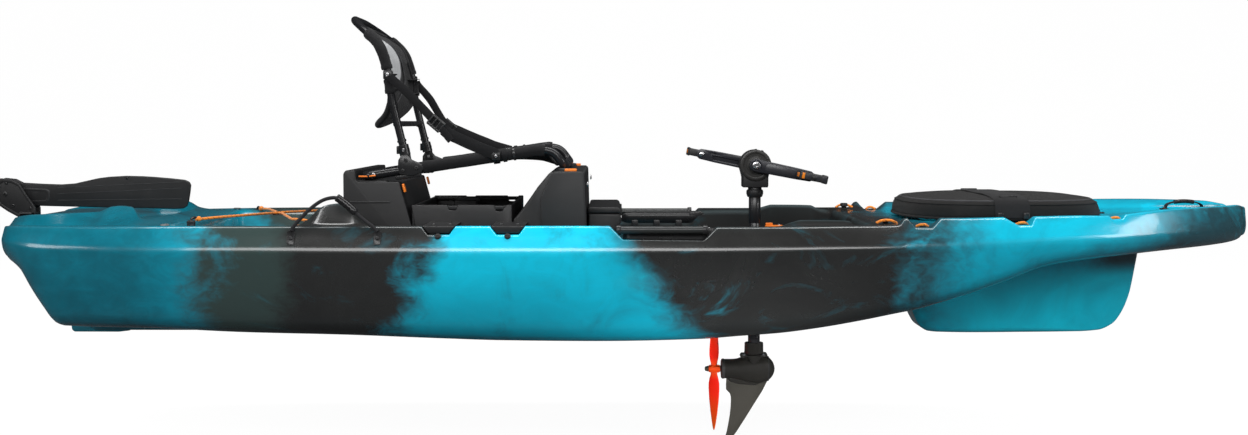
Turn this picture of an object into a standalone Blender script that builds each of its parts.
"""Pedal-drive fishing kayak, 3.5 m: hollow moulded hull with a drive well, raised
frame chair on risers, lift-out propeller drive with cranks, stowable rudder and a
domed bow hatch.  Metres, +X to the bow, +Y to port, +Z up, Z = 0 at the keel.
Pieces are modelled in place; moving ones hang from an empty on their joint's axis."""
import bpy
import bmesh
from math import pi, sin, cos, radians
from mathutils import Vector, Matrix

# ---------------------------------------------------------------- driving sizes
HALF = 3.505 / 2                  # half the hull length; the ends are at -HALF and HALF
BEAM = 0.92                       # widest, on the side ridge
WALL = 0.005                      # moulded hull wall
WELL_AFT, WELL_FORE = 0.180, 0.415      # ends of the drive well
WELL_HALF_WIDTH = 0.036
DRIVE_X = 0.3368                  # vertical axis of the drive column
CRANK_Z = 0.4851                  # crank axle height
CRANK_LENGTH = 0.157
CRANK_TILT = radians(-11.5)       # starboard crank, from straight forward
PROP_Z = -0.1165                  # propeller shaft height
PROP_R = 0.184                    # propeller tip radius
PROP_X = 0.2194                   # middle of the propeller hub
BACK_X, BACK_Z = -0.648, 0.506    # backrest hinge
SEAT_Y = 0.240                    # seat rails either side
FLIP_X, FLIP_Z = -1.847, 0.402    # rudder blade flip axis
STEER_X = -1.790                  # rudder steering axis
HATCH_X = 1.037                   # hatch centre
HATCH_HALF_X, HATCH_HALF_Y = 0.285, 0.275
HATCH_POWER = 2.8                 # squareness of the hatch outline (2 is an ellipse)
HATCH_HINGE_X, HATCH_HINGE_Z = 1.330, 0.352
SIDES = (("right", -1), ("left", 1))    # name and the sign of Y

# ---------------------------------------------------------------- scene and materials
for old in list(bpy.data.objects):
    bpy.data.objects.remove(old, do_unlink=True)
for blocks in (bpy.data.meshes, bpy.data.curves, bpy.data.materials):
    for old in list(blocks):
        blocks.remove(old)
pieces = bpy.data.collections.new("pedal_kayak")
guides = bpy.data.collections.new("cutters")
bpy.context.scene.collection.children.link(pieces)
bpy.context.scene.collection.children.link(guides)


def material(name, color, roughness, metallic=0.0):
    made = bpy.data.materials.new(name)
    made.use_nodes = True
    inputs = made.node_tree.nodes["Principled BSDF"].inputs
    inputs["Base Color"].default_value = (*color, 1)
    inputs["Roughness"].default_value = roughness
    inputs["Metallic"].default_value = metallic
    return made


HULL = material("hull_plastic", color=(0.0, 0.42, 0.52), roughness=0.28)
BLACK = material("black_plastic", color=(0.035, 0.035, 0.037), roughness=0.45)
FABRIC = material("black_fabric", color=(0.02, 0.02, 0.022), roughness=0.9)
TUBE = material("black_tube", color=(0.025, 0.025, 0.028), roughness=0.35, metallic=0.3)
CASTING = material("drive_casting", color=(0.045, 0.045, 0.048), roughness=0.42)
STEEL = material("stainless", color=(0.6, 0.6, 0.6), roughness=0.25, metallic=1.0)
ORANGE = material("orange_cord", color=(0.9, 0.22, 0.02), roughness=0.6)
RED = material("red_plastic", color=(0.85, 0.06, 0.01), roughness=0.35)
WEBBING = material("black_webbing", color=(0.02, 0.02, 0.02), roughness=0.85)


# ---------------------------------------------------------------- modelling tools
def pivot(name, place, parent=None):
    """Empty on a joint's axis; it keeps its world place in the property "at"."""
    empty = bpy.data.objects.new(name, None)
    empty.empty_display_size = 0.05
    empty.location = place
    if parent is not None:
        empty.parent = parent
        empty.location = Vector(place) - Vector(parent["at"])
    empty["at"] = tuple(place)
    pieces.objects.link(empty)
    return empty


def add_piece(name, bm, mat, empty=None, smooth=35):
    """Object from a bmesh, faces outward, hung from an empty if one is given."""
    mesh = bpy.data.meshes.new(name)
    bmesh.ops.recalc_face_normals(bm, faces=bm.faces)
    if bm.calc_volume(signed=True) < 0:
        bmesh.ops.reverse_faces(bm, faces=bm.faces)
    bm.to_mesh(mesh)
    bm.free()
    obj = bpy.data.objects.new(name, mesh)
    pieces.objects.link(obj)
    mesh.materials.append(mat)
    mesh.shade_smooth()
    mesh.set_sharp_from_angle(angle=radians(smooth))
    if empty is not None:
        obj.parent = empty
        obj.matrix_parent_inverse = Matrix.Translation(Vector(empty["at"])).inverted()
    return obj


def bevel(obj, width, angle=40):
    mod = obj.modifiers.new("edge", "BEVEL")
    mod.width = width
    mod.segments = 1
    mod.limit_method = "ANGLE"
    mod.angle_limit = radians(angle)


def combine(obj, tool, operation):
    """Boolean with the EXACT solver; the tool becomes a hidden guide."""
    mod = obj.modifiers.new(operation.lower(), "BOOLEAN")
    mod.operation = operation
    mod.object = tool
    mod.solver = "EXACT"
    pieces.objects.unlink(tool)
    guides.objects.link(tool)
    tool.hide_render = True
    tool.display_type = "WIRE"


def cut(obj, tool):
    combine(obj, tool, "DIFFERENCE")


def fuse(obj, tool):
    combine(obj, tool, "UNION")


def box(name, lo, hi, mat, empty=None, edge=0.0, turn=None):
    """Box between two corners, turned about its centre if a matrix is given."""
    bm = bmesh.new()
    bmesh.ops.create_cube(bm, size=1.0)
    bmesh.ops.scale(bm, verts=bm.verts, vec=[b - a for a, b in zip(lo, hi)])
    if turn is not None:
        bmesh.ops.rotate(bm, verts=bm.verts, matrix=turn)
    bmesh.ops.translate(bm, verts=bm.verts, vec=[(a + b) / 2 for a, b in zip(lo, hi)])
    obj = add_piece(name, bm, mat, empty)
    if edge:
        bevel(obj, edge)
    return obj


def around(centre, half):
    """Low and high corners of a box from its centre and half sizes."""
    return [c - h for c, h in zip(centre, half)], [c + h for c, h in zip(centre, half)]


def cylinder(name, start, end, radius, mat, empty=None, segments=24, edge=0.0):
    start, end = Vector(start), Vector(end)
    bm = bmesh.new()
    bmesh.ops.create_cone(bm, cap_ends=True, segments=segments, radius1=radius,
                          radius2=radius, depth=(end - start).length)
    turn = (end - start).to_track_quat("Z", "Y").to_matrix()
    bmesh.ops.rotate(bm, verts=bm.verts, matrix=turn)
    bmesh.ops.translate(bm, verts=bm.verts, vec=(start + end) / 2)
    obj = add_piece(name, bm, mat, empty)
    if edge:
        bevel(obj, edge, angle=60)
    return obj


def evaluated_bmesh(name, data, merge, screw_steps=0):
    """Bmesh of a curve, or of a profile mesh screwed about Z, with doubles merged."""
    obj = bpy.data.objects.new(name, data)
    pieces.objects.link(obj)
    if screw_steps:
        mod = obj.modifiers.new("turn", "SCREW")
        mod.steps = mod.render_steps = screw_steps
        mod.use_merge_vertices = True
        mod.merge_threshold = 0.00005
        mod.use_normal_calculate = True
    depsgraph = bpy.context.evaluated_depsgraph_get()
    mesh = bpy.data.meshes.new_from_object(obj.evaluated_get(depsgraph))
    bpy.data.objects.remove(obj, do_unlink=True)
    bm = bmesh.new()
    bm.from_mesh(mesh)
    bmesh.ops.remove_doubles(bm, verts=bm.verts, dist=merge)
    return bm


TURN_AXES = {"x": Matrix.Rotation(pi / 2, 3, "Y"), "z": Matrix.Identity(3)}


def turned(name, profile, mat, axis, place, segments, empty=None, closed=False):
    """Turned piece: profile of (radius, distance along the axis), axis through place."""
    bm = bmesh.new()
    verts = [bm.verts.new((radius, 0, z)) for radius, z in profile]
    for pair in zip(verts, verts[1:]):
        bm.edges.new(pair)
    if closed:
        bm.edges.new((verts[-1], verts[0]))
    mesh = bpy.data.meshes.new(name)
    bm.to_mesh(mesh)
    bm.free()
    bm = evaluated_bmesh(name, mesh, 0.00005, screw_steps=segments)
    bmesh.ops.rotate(bm, verts=bm.verts, matrix=TURN_AXES[axis])
    bmesh.ops.translate(bm, verts=bm.verts, vec=place)
    return add_piece(name, bm, mat, empty)


def poly_curve(name, points, dimensions, cyclic):
    curve = bpy.data.curves.new(name, "CURVE")
    curve.dimensions = dimensions
    spline = curve.splines.new("POLY")
    spline.points.add(len(points) - 1)
    for target, point in zip(spline.points, points):
        target.co = (*point, 1)
    spline.use_cyclic_u = cyclic
    return curve


def rounded(points, reach, cyclic):
    """Round the corners of a polyline with three points each."""
    out = []
    count = len(points)
    for i, corner in enumerate(points):
        if not cyclic and i in (0, count - 1):
            out.append(corner)
            continue
        before = points[i - 1] - corner
        after = points[(i + 1) % count] - corner
        trim = min(reach, before.length * 0.45, after.length * 0.45)
        start = corner + before.normalized() * trim
        end = corner + after.normalized() * trim
        for k in (0, 0.5, 1):
            out.append((1 - k) ** 2 * start + 2 * k * (1 - k) * corner + k * k * end)
    return out


def tube(name, points, radius, mat, empty=None, cyclic=False, resolution=2, corner=0):
    """Round tube or cord along points, with filled ends."""
    points = [Vector(p) for p in points]
    if corner:
        points = rounded(points, corner, cyclic)
    curve = poly_curve(name, points, "3D", cyclic)
    curve.bevel_depth = radius
    curve.bevel_resolution = resolution
    curve.use_fill_caps = True
    return add_piece(name, evaluated_bmesh(name, curve, 0.00005), mat, empty, smooth=60)


def plate(name, outline, side_a, side_b, mat, empty=None, plane="xz", edge=0.0):
    """Flat outline in a plane, given thickness between two levels in either order."""
    lo, hi = sorted((side_a, side_b))
    curve = poly_curve(name, [(u, v, 0) for u, v in outline], "2D", True)
    curve.fill_mode = "BOTH"
    curve.extrude = (hi - lo) / 2
    bm = evaluated_bmesh(name, curve, 0.00002)
    middle = (lo + hi) / 2
    for vert in bm.verts:
        u, v, depth = vert.co
        vert.co = (u, middle + depth, v) if plane == "xz" else (u, v, middle + depth)
    obj = add_piece(name, bm, mat, empty)
    if edge:
        bevel(obj, edge)
    return obj


def loft(name, rings, mat, empty=None, smooth=35, wrap=False):
    """Skin through equal rings: capped ends, or the last ring wrapped to the first."""
    bm = bmesh.new()
    rows = [[bm.verts.new(p) for p in ring] for ring in rings]
    count = len(rings[0])
    following = rows[1:] + rows[:1] if wrap else rows[1:]
    for row, after in zip(rows, following):
        for i in range(count):
            j = (i + 1) % count
            bm.faces.new((row[i], row[j], after[j], after[i]))
    if not wrap:
        bm.faces.new(list(reversed(rows[0])))
        bm.faces.new(rows[-1])
    return add_piece(name, bm, mat, empty, smooth)


def value_at(table, x):
    """Straight-line reading of a table of (x, value), held level past its ends."""
    if x <= table[0][0]:
        return table[0][1]
    for (x0, v0), (x1, v1) in zip(table, table[1:]):
        if x <= x1:
            return v0 + (v1 - v0) * (x - x0) / (x1 - x0)
    return table[-1][1]


def on_side(points, sign):
    return [(x, sign * y, z) for x, y, z in points]


def across(points):
    """Points to starboard, then back along their port mirror."""
    return on_side(points, -1) + list(reversed(points))


def shifted(offsets, u, v):
    return [(u + du, v + dv) for du, dv in offsets]


# ---------------------------------------------------------------- hull
# Lines of the hull, each a table of (x, value), stern to bow.
# Side ridge, the widest line: half width and height
RIDGE_Y = [
    (-HALF, .270), (-1.735, .317), (-1.70, .350), (-1.66, .372), (-1.62, .388), (-1.58, .398),
    (-1.50, .414), (-1.40, .431), (-1.16, .452), (-.90, BEAM / 2), (.15, BEAM / 2), (.54, .455),
    (.80, .443), (1.08, .408), (1.30, .360), (1.45, .300), (1.60, .220), (1.70, .140),
    (1.735, .090), (HALF, .045)]
RIDGE_Z = [
    (-HALF, .292), (-1.62, .279), (-1.16, .274), (-.50, .270), (.15, .272), (.54, .279),
    (.80, .286), (1.08, .294), (1.30, .297), (1.60, .304), (HALF, .318)]
# Gunwale rim: half width and height
RIM_Y = [
    (-HALF, .245), (-1.735, .290), (-1.70, .322), (-1.66, .342), (-1.62, .356), (-1.58, .365),
    (-1.50, .379), (-1.40, .392), (-1.30, .405), (-1.16, .420), (-.90, .430), (.15, .430),
    (.54, .420), (.70, .407), (.95, .388), (1.17, .362), (1.30, .335), (1.45, .280),
    (1.60, .202), (1.70, .125), (1.735, .078), (HALF, .036)]
RIM_Z = [
    (-HALF, .328), (-1.70, .331), (-1.45, .334), (-1.30, .336), (-1.16, .337), (-.60, .3375),
    (-.30, .3375), (-.085, .3375), (-.060, .302), (.165, .302), (.190, .334), (.205, .3348),
    (.54, .3370), (.68, .3390), (.703, .3575), (.95, .3535), (1.17, .360), (1.30, .3586),
    (1.44, .3716), (1.66, .3755), (HALF, .368)]
# Underside of the sponsons
SPONSON_Z = [
    (-HALF, .247), (-1.735, .230), (-1.70, .210), (-1.66, .154), (-1.62, .093), (-1.58, .0545),
    (-1.35, .0512), (-1.08, .0405), (-.81, .0338), (-.54, .0231), (-.38, .0177), (-.11, .015),
    (.154, .0204), (.26, .0284), (.37, .0365), (.475, .050), (.583, .0686), (.69, .090),
    (.738, .0994), (.877, .1396), (.98, .1744), (1.10, .2173), (1.23, .2354), (1.35, .2461),
    (1.48, .2551), (1.62, .263), (1.70, .2700), (1.735, .281), (HALF, .300)]
# Keel: height and half width of its flat
KEEL_Z = [
    (-HALF, .247), (-1.735, .226), (-1.70, .195), (-1.66, .115), (-1.62, .030), (-1.58, .0062),
    (-.30, .0062), (-.10, .010), (.02, .055), (.08, .095), (.78, .095), (.800, .046),
    (.824, .0110), (.853, .0020), (.90, .0008), (1.05, .0), (1.28, .0), (1.34, .002),
    (1.399, .034), (1.437, .092), (1.457, .200), (1.470, .2535), (1.62, .262), (1.70, .269),
    (1.735, .280), (HALF, .300)]
KEEL_Y = [
    (-HALF, .030), (-1.62, .045), (-.30, .050), (.02, .060), (.08, .090), (.78, .060),
    (.80, .052), (.853, .072), (.95, .082), (1.15, .072), (1.30, .050), (1.399, .030),
    (1.437, .020), (1.470, .018), (1.70, .018), (HALF, .008)]
# Tunnel between keel and sponson: height, and half width as a share of the ridge's
TUNNEL_Z = [
    (-HALF, .249), (-1.735, .234), (-1.70, .214), (-1.66, .162), (-1.62, .106), (-1.58, .078),
    (-.60, .070), (-.20, .070), (.02, .085), (.08, .0955), (.70, .105), (.78, .125),
    (.85, .160), (.98, .200), (1.10, .232), (1.23, .243), (1.35, .250), (1.48, .257),
    (1.62, .264), (1.70, .2705), (1.735, .2815), (HALF, .3005)]
TUNNEL_SHARE = [
    (-1.0, .30), (.0, .33), (.08, .38), (.78, .26), (.85, .24), (1.05, .25), (1.30, .22),
    (1.45, .12), (HALF, .25)]
# Deck shoulder inboard of the rim: height, and distance in from the rim
SHOULDER_Z = [
    (-HALF, .350), (-1.66, .362), (-1.58, .367), (-1.495, .366), (-1.465, .3825),
    (-1.410, .3825), (-1.375, .346), (-1.30, .331), (-.93, .331), (-.909, .346), (-.882, .372),
    (-.854, .395), (-.806, .402), (-.761, .347), (-.718, .334), (-.11, .332), (-.085, .330),
    (-.060, .298), (.165, .298), (.190, .330), (.355, .3306), (.402, .3469), (.426, .3536),
    (.548, .3517), (.577, .3370), (.616, .3304), (.655, .3418), (.709, .3402), (.80, .336),
    (.95, .338), (1.17, .350), (1.30, .353), (1.44, .358), (1.66, .362), (HALF, .360)]
SHOULDER_IN = [
    (-HALF, .075), (-1.58, .075), (-1.495, .150), (-1.465, .165), (-1.410, .165),
    (-1.375, .120), (-1.30, .075), (HALF, .075)]
# Deck floor: height, and half width as a share of the ridge's
FLOOR_Z = [
    (-HALF, .345), (-1.62, .350), (-1.36, .346), (-1.30, .330), (-1.265, .328), (-1.240, .200),
    (-.955, .200), (-.930, .333), (-.845, .333), (-.825, .220), (-.165, .220), (-.135, .150),
    (.585, .150), (.625, .334), (.690, .334), (.95, .334), (1.30, .336), (1.44, .345),
    (1.66, .352), (HALF, .356)]
FLOOR_SHARE = [
    (-HALF, .60), (-1.62, .72), (-1.58, .70), (-1.495, .50), (-1.465, .47), (-1.410, .47),
    (-1.375, .55), (-1.30, .66), (-1.24, .62), (-.955, .64), (-.93, .72), (-.845, .74),
    (-.825, .74), (.55, .74), (.69, .72), (1.2, .66), (1.45, .60), (HALF, .50)]
# Height of the centre console above the floor
CONSOLE_RISE = [(.105, 0.0), (.135, 0.140), (.585, .140), (.625, 0.0)]
STATIONS = [
    -HALF, -1.735, -1.70, -1.66, -1.62, -1.58, -1.495, -1.465, -1.410, -1.375, -1.30, -1.265,
    -1.240, -1.10, -.955, -.930, -.900, -.875, -.845, -.825, -.806, -.761, -.718, -.45, -.165,
    -.135, -.085, -.060, .02, .08, .105, .135, .165, .190, .205, .300, .355, .402, .426, .548,
    .577, .585, .616, .625, .655, .690, .703, .738, .78, .800, .824, .853, .90, .98, 1.10,
    1.23, 1.34, 1.399, 1.437, 1.457, 1.470, 1.55, 1.62, 1.66, 1.70, 1.735, HALF]


def half_section(x):
    """Half section at x, keel centre to deck centre, as (y, z)."""
    ridge_y, ridge_z = value_at(RIDGE_Y, x), value_at(RIDGE_Z, x)
    rim_y, rim_z = value_at(RIM_Y, x), value_at(RIM_Z, x)
    keel_y, keel_z = value_at(KEEL_Y, x), value_at(KEEL_Z, x)
    tunnel_y = max(value_at(TUNNEL_SHARE, x) * ridge_y, keel_y * 1.25)
    sponson_z = value_at(SPONSON_Z, x)
    side_rise = ridge_z - sponson_z
    floor_y, floor_z = value_at(FLOOR_SHARE, x) * ridge_y, value_at(FLOOR_Z, x)
    shoulder_y = max(floor_y + .02 * ridge_y / (BEAM / 2), rim_y - value_at(SHOULDER_IN, x))
    console_y = min(.048, floor_y * .35)
    console_z = floor_z + value_at(CONSOLE_RISE, x)
    return [
        (0, keel_z),
        (keel_y, keel_z),
        (tunnel_y, value_at(TUNNEL_Z, x)),
        (max(.52 * ridge_y, tunnel_y * 1.25), sponson_z + .0625 * side_rise),
        (.78 * ridge_y, sponson_z),
        (.90 * ridge_y, sponson_z + .16 * side_rise),
        (ridge_y, ridge_z),
        (rim_y, rim_z),
        (rim_y - min(.030, .25 * rim_y), rim_z - .002),
        (shoulder_y, value_at(SHOULDER_Z, x)),
        (floor_y, floor_z),
        (console_y + .012, floor_z),
        (console_y, console_z),
        (0, console_z)]


def hull_ring(x):
    half = half_section(x)
    return [(x, y, z) for y, z in half] + [(x, -y, z) for y, z in reversed(half[1:-1])]


def hatch_oval(half_x, half_y, count):
    """Rounded rectangle (superellipse) about the hatch centre, as (x, y)."""
    out = []
    for i in range(count):
        angle = 2 * pi * (i + .5) / count
        c, s = cos(angle), sin(angle)
        out.append((HATCH_X + half_x * abs(c) ** (2 / HATCH_POWER) * (1 if c > 0 else -1),
                    half_y * abs(s) ** (2 / HATCH_POWER) * (1 if s > 0 else -1)))
    return out


def hatch_inset(inset, count):
    return hatch_oval(HATCH_HALF_X - inset, HATCH_HALF_Y - inset, count)


def build_hull():
    """Solid skin, cut through for the drive, given its wall, then cut for the hatch."""
    hull = loft("hull", [hull_ring(x) for x in STATIONS], HULL)
    cut(hull, box("well_cutter", (WELL_AFT, -WELL_HALF_WIDTH, 0.02),
                  (WELL_FORE, WELL_HALF_WIDTH, 0.36), BLACK))
    wall = hull.modifiers.new("wall", "SOLIDIFY")
    wall.thickness = WALL
    wall.offset = -1.0
    wall.use_even_offset = False
    wall.solidify_mode = "EXTRUDE"
    cut(hull, plate("hatch_cutter", hatch_inset(.050, 24), .300, .420, BLACK, plane="xy"))
    box("skid_plate", (-1.575, -.040, .0004), (-1.46, .040, .0058), BLACK, edge=.0015)


# ---------------------------------------------------------------- deck fittings
# Centre lines, (x, y, z); side fittings are given for port
BOW_HANDLE = [(1.545, 0, .3560), (1.550, 0, .3700), (1.600, 0, .3780), (1.650, 0, .3700),
              (1.655, 0, .3580)]
SIDE_HANDLE = [(-.920, .4490, .3130), (-.906, .4440, .3500), (-.850, .4250, .3920),
               (-.815, .4220, .4000), (-.780, .4250, .3920), (-.715, .4440, .3500),
               (-.700, .4490, .3130)]
SIDE_RAIL = [(-.066, .396, .326), (.170, .396, .326)]
BUNGEE_RUN = [(-1.066, .016, .3480), (-1.040, .030, .3470), (-.9755, .200, .3440),
              (-.915, .262, .3400)]      # forward of the hook end
HOOK_Z = {"right": .3500, "left": .3372}
RISER_BOLT_X = {"rear": -.5394, "front": -.3563}


def build_bungee(side, sign):
    """Orange cord from a hook by the gunwale to the middle and out again."""
    hook_z = HOOK_Z[side]
    hook_end = [(-1.199, .352, hook_z + .001), (-1.16, .30, hook_z + .002)]
    tube("tankwell_bungee_" + side, on_side(hook_end + BUNGEE_RUN, sign), .0038, ORANGE,
         corner=.015)
    cylinder("bungee_hook_" + side, (-1.207, sign * .3620, hook_z),
             (-1.207, sign * .3420, hook_z), .0040, BLACK, segments=10)


def build_deck_fittings():
    tube("bow_handle", BOW_HANDLE, .0055, WEBBING, corner=.02)
    for side, sign in SIDES:
        # carry handle, its ends low on the hull side
        tube("side_handle_" + side, on_side(SIDE_HANDLE, sign), .0065, WEBBING, corner=.02)
        # round rail in the gunwale cut-out
        tube("side_rail_" + side, on_side(SIDE_RAIL, sign), .0110, TUBE, resolution=3)
        build_bungee(side, sign)
        for end, x in RISER_BOLT_X.items():
            cylinder("riser_bolt_%s_%s" % (side, end), (x, sign * .4510, .3100),
                     (x, sign * .4570, .3120), .0085, BLACK, segments=12)
    box("bungee_clip", (-1.072, -.0085, .3410), (-1.044, .0085, .3435), BLACK)


# ---------------------------------------------------------------- hatch
HATCH_SEGMENTS = 28
# Outside of the domed cover, edge to crown: share of the hatch half axes, height
DOME = [(1.0, .3400), (.997, .3600), (.975, .3770), (.93, .3890), (.84, .3975), (.62, .4030),
        (.30, .4055), (.05, .4060)]
DOME_INSET, DOME_DROP = .022, .004      # from the outside to the inside of the cover
STRAP_ENDS = [(.2780, .3480), (.2768, .366)]      # y and underside height, beside the cover
STRAP_TOP_Y = [.268, .252, .220, .150, .075]      # points lying on the cover
STRAP_AFT, STRAP_FORE = .975, 1.066
STRAP_THICK, STRAP_LIFT = .0025, .0022      # the lift is clear of the cover


def dome_ring(share, z):
    outline = hatch_oval(HATCH_HALF_X * share, HATCH_HALF_Y * share, HATCH_SEGMENTS)
    return [(x, y, z) for x, y in outline]


def dome_height(x, y):
    """Height of the hatch cover's top at a point."""
    share = (abs((x - HATCH_X) / HATCH_HALF_X) ** HATCH_POWER
             + abs(y / HATCH_HALF_Y) ** HATCH_POWER) ** (1 / HATCH_POWER)
    return value_at(list(reversed(DOME)), share)


def build_hatch_cover(hinge):
    inside = [(max(share - DOME_INSET, .03), z - DOME_DROP) for share, z in DOME]
    inside[0] = (DOME[0][0] - DOME_INSET, DOME[0][1])      # flush with the outer edge
    loft("hatch_cover", [dome_ring(*row) for row in list(reversed(DOME)) + inside], FABRIC,
         hinge)


def build_hatch_strap(hinge):
    """Webbing across the cover and down both sides."""
    half = STRAP_ENDS + [(y, dome_height(1.02, y) + STRAP_LIFT) for y in STRAP_TOP_Y]
    run = [(-y, z) for y, z in half]
    run += [(0, dome_height(1.02, 0) + STRAP_LIFT)] + list(reversed(half))
    loft("hatch_strap",
         [[(STRAP_AFT, y, z), (STRAP_FORE, y, z), (STRAP_FORE, y * 1.006, z + STRAP_THICK),
           (STRAP_AFT, y * 1.006, z + STRAP_THICK)] for y, z in run], WEBBING, hinge)


def build_hatch():
    hinge = pivot("hatch_open", (HATCH_HINGE_X, 0, HATCH_HINGE_Z))
    rim = plate("hatch_rim", hatch_inset(.023, HATCH_SEGMENTS), .3375, .3505, BLACK, plane="xy")
    cut(rim, plate("rim_cutter", hatch_inset(.055, HATCH_SEGMENTS), .33, .36, BLACK, plane="xy"))
    build_hatch_cover(hinge)
    build_hatch_strap(hinge)
    cylinder("hatch_hinge", (HATCH_HINGE_X, -.050, HATCH_HINGE_Z),
             (HATCH_HINGE_X, .050, HATCH_HINGE_Z), .0050, BLACK, segments=12)


# ---------------------------------------------------------------- chair risers and trays
BASE_Z = .2206      # underside of the boxes, on the deck floor
# Name, half width, wall, side outline (x, z)
OPEN_BOXES = [
    ("rear_seat_riser", .270, .005,
     [(-.819, BASE_Z), (-.819, .470), (-.812, .479), (-.786, .479), (-.780, .446),
      (-.664, .446), (-.6065, BASE_Z)]),
    ("front_seat_riser", .290, .005,
     [(-.3540, BASE_Z), (-.3540, .3420), (-.3080, .4020), (-.2494, .4765), (-.1620, .4765),
      (-.1560, .470), (-.1490, BASE_Z)]),
    ("seat_tray", .262, .005,
     [(-.6040, BASE_Z), (-.6340, .3835), (-.3570, .3835), (-.3570, BASE_Z)]),
    ("front_tray", .200, .004,
     [(-.1480, BASE_Z), (-.1500, .3735), (-.0600, .3735), (-.0480, .3600),
      (-.1300, BASE_Z)])]


def build_open_box(name, half_width, wall, outline):
    """Moulded box, open underneath."""
    shell = plate(name, outline, -half_width, half_width, BLACK)
    middle_x = sum(x for x, z in outline) / len(outline)
    core = [(x + (wall if x < middle_x else -wall),
             z - wall if z > BASE_Z + .001 else BASE_Z - .01) for x, z in outline]
    inner = half_width - wall
    cut(shell, plate(name + "_core", core, -inner, inner, BLACK))


# ---------------------------------------------------------------- chair
# Seat rail, side view (x, z)
RAIL = [(-.764, .4620), (-.627, .4825), (-.419, .5135), (-.279, .5345), (-.242, .5290),
        (-.2130, .4905)]
BASE_FABRIC = [(-.605, .020), (-.52, .020), (-.419, .022), (-.34, .030),
               (-.278, .040)]      # x, sag below the rails
BASE_FABRIC_Y = .2265
BASE_FABRIC_HALF_THICK = .003
# Port half of the backrest arch, (x, y, z)
BACK_ARCH = [(-.6520, SEAT_Y, .5230), (-.6880, SEAT_Y, .672), (-.6980, SEAT_Y, .760),
             (-.7200, .236, .826), (-.7700, .195, .868), (-.8140, .110, .9015)]
# Backrest fabric: x, z, half width, sag aft
BACK_FABRIC = [(-.700, .615, .150, .065), (-.705, .680, .205, .022),
               (-.716, .760, .205, .010), (-.738, .830, .190, .010),
               (-.772, .862, .160, .012)]
BACK_FABRIC_HALF_THICK = .005
# Ear at the foot of the backrest, offsets from the hinge (x, z)
EAR = [(-.010, .030), (.006, .030), (.011, 0), (.008, -.0085), (0, -.0115),
       (-.008, -.0085), (-.011, 0)]
EAR_HALF_THICK = .0035
# Hinge cheek on the seat (x, z)
CHEEK = [(-.6660, .4680), (-.6300, .4650), (-.6060, .4730), (-.5990, .4840),
         (-.6060, .4970), (-.6300, .5070), (-.6420, .5200), (-.6600, .5200),
         (-.6690, .5060)]
# Tension straps, backrest to rail (x, z); the port one hangs a little slacker
STRAPS = {
    "right": [(-.6860, .7290), (-.6445, .6943), (-.5880, .6350), (-.5680, .6150),
              (-.5420, .5900), (-.5290, .5800), (-.4586, .5480), (-.4000, .5280)],
    "left": [(-.6880, .7360), (-.6477, .6835), (-.6259, .6474), (-.6040, .6110),
             (-.5800, .5920), (-.5529, .5800), (-.4600, .5420), (-.3960, .5215)]}
STRAP_Y = .2605            # inner face
BUCKLE_POINTS = (3, 4)     # places in the strap path where it is a buckle
BUCKLE_SIZE = (.0160, .0100)      # half width, thickness
STRAP_SIZE = (.0120, .0024)


def build_seat_base():
    tube("seat_base_frame", across([(x, SEAT_Y, z) for x, z in RAIL]), .0125, TUBE,
         cyclic=True, corner=.022)
    row = [-BASE_FABRIC_Y, -.12, 0, .12, BASE_FABRIC_Y]
    faces = ((-BASE_FABRIC_HALF_THICK, row), (BASE_FABRIC_HALF_THICK, row[::-1]))
    rings = [[(x, y, value_at(RAIL, x) - sag * (1 - (y / BASE_FABRIC_Y) ** 2) + dz)
              for dz, ys in faces for y in ys] for x, sag in BASE_FABRIC]
    loft("seat_base_fabric", rings, FABRIC)


def build_backrest_hinge(frame, side, sign):
    """Bored ear on the backrest frame, and the seat's cheek with its pin."""
    def hinge_axis(y):
        return (BACK_X, sign * y, BACK_Z)

    fuse(frame, plate("ear_" + side, shifted(EAR, BACK_X, BACK_Z),
                      sign * (SEAT_Y - EAR_HALF_THICK), sign * (SEAT_Y + EAR_HALF_THICK), TUBE))
    cut(frame, cylinder("ear_bore_" + side, hinge_axis(.22), hinge_axis(.26), .0043, TUBE,
                        segments=12))
    cheek = plate("seat_hinge_" + side, CHEEK, sign * .2530, sign * .2575, BLACK, edge=.001)
    fuse(cheek, cylinder("pin_" + side, hinge_axis(.2560), hinge_axis(.2340), .0040, STEEL,
                         segments=12))


def build_back_fabric(fold):
    row = [-1, -.5, 0, .5, 1]      # shares of the half width
    faces = ((BACK_FABRIC_HALF_THICK, row), (-BACK_FABRIC_HALF_THICK, row[::-1]))
    rings = [[(x + dx - sag * (1 - share * share), share * half_width, z)
              for dx, shares in faces for share in shares]
             for x, z, half_width, sag in BACK_FABRIC]
    loft("backrest_fabric", rings, FABRIC, fold)


def build_seat_strap(side, sign, fold):
    """Tension strap with its ladder buckle, outside the leg and the rail."""
    path = STRAPS[side]
    rings = []
    for i, (x, z) in enumerate(path):
        half_width, thick = BUCKLE_SIZE if i in BUCKLE_POINTS else STRAP_SIZE
        before, after = path[max(i - 1, 0)], path[min(i + 1, len(path) - 1)]
        along = Vector((after[0] - before[0], after[1] - before[1])).normalized()
        dx, dz = -along.y * half_width, along.x * half_width
        inner, outer = sign * STRAP_Y, sign * (STRAP_Y + thick)
        rings.append([(x + dx, inner, z + dz), (x - dx, inner, z - dz),
                      (x - dx, outer, z - dz), (x + dx, outer, z + dz)])
    loft("seat_strap_" + side, rings, WEBBING, fold)


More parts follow.
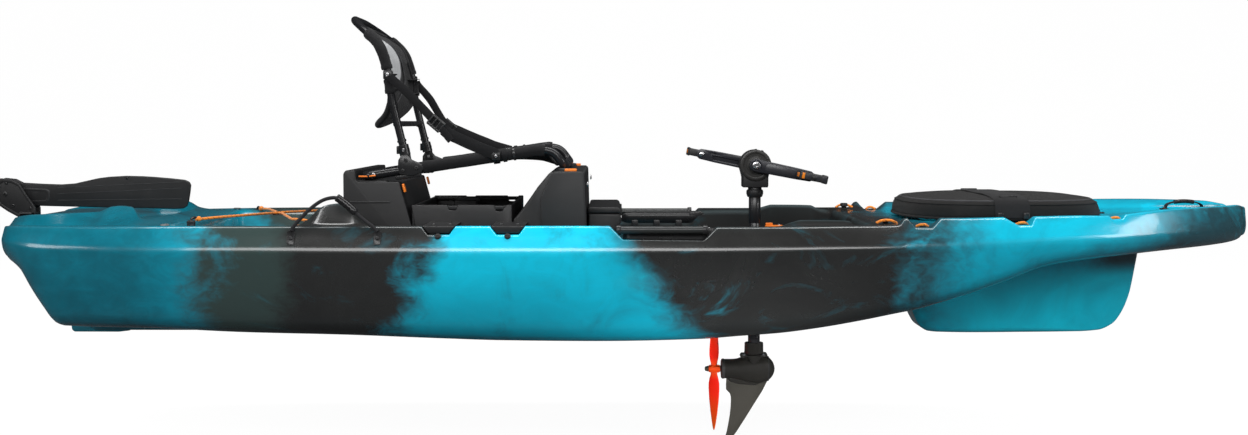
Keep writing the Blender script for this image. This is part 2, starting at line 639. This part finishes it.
def build_backrest():
    fold = pivot("backrest_fold", (BACK_X, 0, BACK_Z))
    frame = tube("backrest_frame", across(BACK_ARCH), .0110, TUBE, fold, corner=.03)
    for side, sign in SIDES:
        build_backrest_hinge(frame, side, sign)
    cylinder("backrest_crossbar", (-.6755, -.2275, .606), (-.6755, .2275, .606), .0080, TUBE,
             fold, segments=12)
    build_back_fabric(fold)
    for side, sign in SIDES:
        build_seat_strap(side, sign, fold)


# ---------------------------------------------------------------- steering knob, port side
KNOB_X, KNOB_Y = -.235, .372
# Offsets from the knob's axis (x, y)
KNOB = [(.034, 0), (.030, .012), (.012, .018), (-.012, .018), (-.030, .012),
        (-.034, 0), (-.030, -.012), (-.012, -.018), (.012, -.018), (.030, -.012)]


def build_steering_knob():
    cylinder("knob_base", (KNOB_X, KNOB_Y, .3375), (KNOB_X, KNOB_Y, .3445), .024, BLACK,
             segments=20, edge=.001)
    turn = pivot("steering_knob_turn", (KNOB_X, KNOB_Y, .345))
    plate("steering_knob", shifted(KNOB, KNOB_X, KNOB_Y), .3450, .3620, BLACK, turn,
          plane="xy", edge=.003)


# ---------------------------------------------------------------- drive: plate and column
FLANGE_LAP_X, FLANGE_LAP_Y = .014, .011      # flange beyond the well, ends and sides
COLUMN_INNER_R, COLUMN_R = .0140, .0175
# Closed profile (radius, z)
COLLAR = [(COLUMN_INNER_R, .4195), (.0225, .4195), (.0240, .4150), (.0240, .3960),
          (.0215, .3916), (COLUMN_INNER_R, .3916)]
# Plan outline (x, y)
LOCK_LEVER = [(.4160, -.010), (.4190, 0), (.4160, .010), (.4080, .0135), (.3720, .0080),
              (.3660, 0), (.3720, -.0080), (.4080, -.0135)]


def column_axis(z):
    return (DRIVE_X, 0, z)


def crank_axis(y):
    return (DRIVE_X, y, CRANK_Z)


def prop_axis(x):
    return (x, 0, PROP_Z)


def build_flange(drive):
    half_y = WELL_HALF_WIDTH + FLANGE_LAP_Y
    flange = box("drive_flange", (WELL_AFT - FLANGE_LAP_X, -half_y, .2906),
                 (WELL_FORE + FLANGE_LAP_X, half_y, .3025), BLACK, drive, edge=.003)
    cut(flange, cylinder("flange_bore", column_axis(.28), column_axis(.32), .0180, BLACK))


def build_column(drive):
    profile = [(COLUMN_INNER_R, .3912), (COLUMN_R, .3912), (COLUMN_R, -.0370),
               (COLUMN_INNER_R, -.0370)]
    turned("drive_column", profile, TUBE, "z", column_axis(0), 24, drive, closed=True)
    turned("column_collar", COLLAR, CASTING, "z", column_axis(0), 24, drive, closed=True)


def build_lock_lever(drive):
    """Lever on the drive's deck plate."""
    turn = pivot("drive_lock_turn", (.408, 0, .3030), drive)
    plate("drive_lock_lever", LOCK_LEVER, .3030, .3100, BLACK, turn, plane="xy", edge=.001)


# ---------------------------------------------------------------- drive: gearbox and cranks
GEARBOX_R = .0460
GEARBOX_WALL = .0050
AXLE_R = .0080
AXLE_BORE_R = .0084
HUB_END_R, PEDAL_END_R = .0210, .0155      # round ends of a crank arm
SPINDLE_R = .0050
PEDAL_Y = .1030                            # middle of a pedal
PEDAL_HALF = (.0400, .0440, .0125)
WINDOW_HALF = (.0100, .0320, .03)
WINDOW_OFFSET = .0225                      # from the spindle, along the pedal
GEAR_TEETH = 24
TOOTH_DEPTH = .0012
# Gear section: radius, y, and whether every other point is let in by the tooth depth
CRANK_GEAR = [(.0082, .0185, False), (.0340 - TOOTH_DEPTH, .0185, False),
              (.0340, .0098, True), (.0262, .0072, True), (.0082, .0072, False)]


def build_gearbox(drive):
    """Upper gearbox: a cup that holds the crank gear, closed by a starboard cover."""
    housing = cylinder("gearbox_housing", crank_axis(-.0240), crank_axis(.0300), GEARBOX_R,
                       CASTING, drive, segments=32)
    fuse(housing, box("gearbox_foot", (.2985, -.0240, .4200), (.3725, .0260, .4700), CASTING))
    cut(housing, cylinder("gearbox_cavity", crank_axis(-.0300), crank_axis(.0250),
                          GEARBOX_R - GEARBOX_WALL, CASTING, segments=28))
    cut(housing, cylinder("gearbox_shaft_bore", column_axis(.41), column_axis(.47), .0120,
                          CASTING, segments=20))
    cut(housing, cylinder("gearbox_axle_bore", crank_axis(0), crank_axis(.04), AXLE_BORE_R,
                          CASTING, segments=20))
    cover = cylinder("gearbox_cover", crank_axis(-.0300), crank_axis(-.0244), GEARBOX_R,
                     CASTING, drive, segments=32)
    cut(cover, cylinder("cover_bore", crank_axis(-.05), crank_axis(0), AXLE_BORE_R, CASTING,
                        segments=20))


def build_crank_gear(spin):
    """Bevel gear on the axle, toothed face to starboard."""
    count = GEAR_TEETH * 2
    rings = []
    for outer, y, toothed in CRANK_GEAR:
        ring = []
        for i in range(count):
            radius = outer - (TOOTH_DEPTH if toothed and i % 2 else 0)
            angle = 2 * pi * i / count
            ring.append((DRIVE_X + radius * cos(angle), y, CRANK_Z - radius * sin(angle)))
        rings.append(ring)
    loft("crank_gear", rings, STEEL, spin, smooth=20, wrap=True)


def half_round(x, z, radius, start, steps):
    """Half circle of steps + 1 points from a start angle, as (x, z)."""
    angles = [start + pi * k / steps for k in range(steps + 1)]
    return [(x + radius * cos(a), z + radius * sin(a)) for a in angles]


def build_crank_arm(side, sign, angle, end_x, end_z, spin):
    """Arm with its pedal spindle, and the bolt on the end of the axle."""
    outline = half_round(DRIVE_X, CRANK_Z, HUB_END_R, angle + pi / 2, 8)
    outline += half_round(end_x, end_z, PEDAL_END_R, angle - pi / 2, 6)
    arm = plate("crank_arm_" + side, outline, sign * .0310, sign * .0460, CASTING, spin,
                edge=.0025)
    cut(arm, cylinder("arm_bore_" + side, crank_axis(sign * .02), crank_axis(sign * .06),
                      AXLE_BORE_R, CASTING, segments=20))
    fuse(arm, cylinder("spindle_" + side, (end_x, sign * .0400, end_z),
                       (end_x, sign * .1550, end_z), SPINDLE_R, STEEL, segments=12))
    cylinder("crank_bolt_" + side, crank_axis(sign * .0504), crank_axis(sign * .0545), .0100,
             STEEL, spin, segments=18, edge=.001)


def build_pedal(side, sign, end_x, end_z, crank_spin):
    spin = pivot("pedal_%s_spin" % side, (end_x, 0, end_z), crank_spin)
    middle = sign * PEDAL_Y
    turn = Matrix.Rotation(-CRANK_TILT, 3, "Y")
    pedal = box("pedal_" + side, *around((end_x, middle, end_z), PEDAL_HALF), BLACK, spin,
                edge=.006, turn=turn)
    cut(pedal, cylinder("pedal_bore_" + side, (end_x, middle - .06, end_z),
                        (end_x, middle + .06, end_z), .0054, BLACK, segments=12))
    for k in (-1, 1):
        # open windows in the platform, aft and fore of the spindle
        centre = (end_x + k * WINDOW_OFFSET * cos(CRANK_TILT), middle,
                  end_z + k * WINDOW_OFFSET * sin(CRANK_TILT))
        cut(pedal, box("pedal_window_%s_%d" % (side, k), *around(centre, WINDOW_HALF), BLACK,
                       turn=turn))


def build_cranks(drive):
    spin = pivot("crank_spin", crank_axis(0), drive)
    cylinder("crank_axle", crank_axis(-.0500), crank_axis(.0500), AXLE_R, STEEL, spin,
             segments=20)
    build_crank_gear(spin)
    for side, sign in SIDES:
        angle = CRANK_TILT if sign < 0 else CRANK_TILT + pi
        end_x = DRIVE_X + CRANK_LENGTH * cos(angle)
        end_z = CRANK_Z + CRANK_LENGTH * sin(angle)
        build_crank_arm(side, sign, angle, end_x, end_z, spin)
        build_pedal(side, sign, end_x, end_z, spin)


# ---------------------------------------------------------------- drive: shaft and lower unit
# Profiles about the column axis (radius, z)
DRIVE_SHAFT = [(0, .4590), (.0060, .4590), (.0078, .4505), (.0078, .4380), (.0060, .4360),
               (.0060, -.0980), (.0145, -.0995), (.0145, -.1098), (.0115, -.1112),
               (0, -.1112)]
NECK = [(0, -.0376), (.0284, -.0376), (.0284, -.0640), (.0420, -.0655), (.0420, -.0685),
        (.0260, -.0720), (.0230, -.1100), (0, -.1100)]
NECK_NARROWING = .80      # width share
# Profiles about the propeller axis (radius, x)
GEARCASE = [(0, .3989), (.0130, .3965), (.0260, .3890), (.0370, .3760), (.0425, .3550),
            (.0405, .3300), (.0335, .3000), (.0285, .2700), (.0282, .2402), (0, .2402)]
GEARCASE_NARROWING = [(.270, 1.0), (.330, .78)]      # x, width share
CASE_CAVITY = [(0, .3620), (.0160, .3600), (.0225, .3400), (.0225, .2480), (0, .2480)]
# Side outline (x, z)
SKEG = [(.2560, -.1400), (.2548, -.1800), (.2690, -.2030), (.2665, -.2617), (.2578, -.3056),
        (.2500, -.3300), (.2640, -.3300), (.2812, -.3056), (.3632, -.1738), (.3840, -.1380)]


def build_drive_shaft(drive):
    """Vertical shaft with a gear at each end, in one turned piece."""
    spin = pivot("shaft_spin", column_axis(0), drive)
    turned("drive_shaft", DRIVE_SHAFT, STEEL, "z", column_axis(0), 20, spin)


def build_lower_gearcase(drive):
    """Gearcase with its neck, thrust collar and skeg in one casting."""
    case = turned("lower_gearcase", GEARCASE, CASTING, "x", prop_axis(0), 28, drive)
    for vert in case.data.vertices:      # flattened so that it passes up through the well
        vert.co.y *= value_at(GEARCASE_NARROWING, vert.co.x)
    neck = turned("neck", NECK, CASTING, "z", column_axis(0), 24)
    neck.data.transform(Matrix.Diagonal((1, NECK_NARROWING, 1, 1)))
    fuse(case, neck)
    fuse(case, plate("skeg", SKEG, -.0045, .0045, CASTING))
    cut(case, turned("case_cavity", CASE_CAVITY, CASTING, "x", prop_axis(0), 20))
    cut(case, cylinder("neck_bore", column_axis(-.11), column_axis(-.03), .0152, CASTING,
                       segments=20))
    cut(case, cylinder("prop_bore", prop_axis(.23), prop_axis(.26), .0044, CASTING,
                       segments=16))


# ---------------------------------------------------------------- drive: propeller
# Profiles about the propeller axis (radius, x)
PROP_SHAFT = [(0, .3253), (.0040, .3253), (.0052, .3218), (.0052, .3150), (.0040, .3130),
              (.0040, .2000), (0, .2000)]
PROP_HUB = [(.0043, .2365), (.0125, .2365), (.0150, .2300), (.0150, .2080), (.0110, .2030),
            (.0043, .2030)]
PROP_NUT = [(0, .2026), (.0085, .2026), (.0085, .1960), (.0050, .1919), (0, .1919)]
# Blade sections: radius, chord, pitch angle in degrees
PROP_BLADE = [(.010, .020, 66), (.030, .030, 58), (.060, .042, 45), (.095, .046, 34),
              (.130, .040, 27), (.160, .028, 23), (.178, .016, 20), (PROP_R, .008, 19)]


def blade_rings(sign):
    """Eight-point oval sections of the upper (1) or lower (-1) blade."""
    rings = []
    for radius, chord, pitch in PROP_BLADE:
        pitch = radians(pitch)
        half_thick = .0035 - .002 * radius / PROP_R
        ring = []
        for i in range(8):
            angle = 2 * pi * i / 8
            u, v = chord / 2 * cos(angle), half_thick * sin(angle)
            ring.append((PROP_X + u * sin(pitch) + v * cos(pitch),
                         sign * (u * cos(pitch) - v * sin(pitch)),
                         PROP_Z + sign * radius))
        rings.append(ring)
    return rings


def build_propeller(drive):
    spin = pivot("prop_spin", prop_axis(PROP_X), drive)
    turned("prop_shaft", PROP_SHAFT, STEEL, "x", prop_axis(0), 16, spin)
    hub = turned("propeller", PROP_HUB, RED, "x", prop_axis(0), 24, spin, closed=True)
    for k, sign in enumerate((1, -1)):
        fuse(hub, loft("blade_%d" % k, blade_rings(sign), RED))
    nut = turned("prop_nut", PROP_NUT, BLACK, "x", prop_axis(0), 12, spin)
    cut(nut, cylinder("nut_bore", prop_axis(.1995), prop_axis(.21), .0043, BLACK, segments=12))


def build_drive():
    drive = pivot("drive_lift", column_axis(.290))
    build_flange(drive)
    build_column(drive)
    build_gearbox(drive)
    build_cranks(drive)
    build_drive_shaft(drive)
    build_lower_gearcase(drive)
    build_propeller(drive)
    build_lock_lever(drive)


# ---------------------------------------------------------------- rudder
STEER_BORE_R = .0066
# Profile (radius, z)
RUDDER_PIN = [(0, .3440), (.0060, .3440), (.0060, .3150), (.0095, .3145), (.0095, .3110),
              (0, .3110)]
# Side outlines (x, z)
HEAD_CHEEK = [(-1.7604, .3330), (-1.7604, .3610), (-1.7800, .3900), (-1.8060, .4330),
              (-1.8290, .4450), (-1.8640, .4480), (-1.8840, .4200), (-1.8780, .3820),
              (-1.8400, .3500), (-1.8080, .3330)]
RUDDER_BLADE = [(-1.8780, .4020), (-1.8700, .4240), (-1.8480, .4340), (-1.8156, .4352),
                (-1.7424, .4309), (-1.6692, .4294), (-1.5813, .4470), (-1.4993, .4543),
                (-1.4200, .4510), (-1.3324, .4411), (-1.3119, .4294), (-1.3200, .3800),
                (-1.3353, .3590), (-1.3600, .3570), (-1.5813, .3621), (-1.7424, .3660),
                (-1.8100, .3690), (-1.8480, .3710), (-1.8700, .3800)]


def steer_axis(z):
    return (STEER_X, 0, z)


def flip_axis(y):
    return (FLIP_X, y, FLIP_Z)


def build_rudder_mount():
    bracket = box("rudder_bracket", (-1.8080, -.0330, .3180), (-1.7530, .0330, .3300), BLACK,
                  edge=.003)
    cut(bracket, cylinder("bracket_bore", steer_axis(.30), steer_axis(.35), STEER_BORE_R,
                          BLACK, segments=16))
    turned("rudder_pin", RUDDER_PIN, STEEL, "z", steer_axis(0), 16)


def build_rudder_head(steer):
    """Foot block with a cheek on each side of the blade."""
    head = box("rudder_head", (-1.8080, -.0215, .3306), (-1.7604, .0215, .3520), BLACK, steer)
    for sign in (-1, 1):
        fuse(head, plate("head_cheek_%d" % sign, HEAD_CHEEK, sign * .0125, sign * .0215, BLACK))
    cut(head, cylinder("head_pin_bore", steer_axis(.32), steer_axis(.3450), STEER_BORE_R,
                       BLACK, segments=16))


def build_rudder_blade(steer):
    """Blade stowed forward over the stern deck, and its pivot bolt."""
    flip = pivot("rudder_flip", flip_axis(0), steer)
    blade = plate("rudder_blade", RUDDER_BLADE, -.0060, .0060, BLACK, flip, edge=.002)
    cut(blade, cylinder("blade_bore", flip_axis(-.02), flip_axis(.02), .0064, BLACK,
                        segments=16))
    cylinder("rudder_pivot_bolt", flip_axis(-.0120), flip_axis(.0120), .0060, STEEL, steer,
             segments=14)


def build_rudder():
    build_rudder_mount()
    steer = pivot("rudder_steer", steer_axis(.335))
    build_rudder_head(steer)
    build_rudder_blade(steer)


# ---------------------------------------------------------------- the whole kayak
build_hull()
build_deck_fittings()
build_hatch()
for box_row in OPEN_BOXES:
    build_open_box(*box_row)
build_seat_base()
build_backrest()
build_steering_knob()
build_drive()
build_rudder()
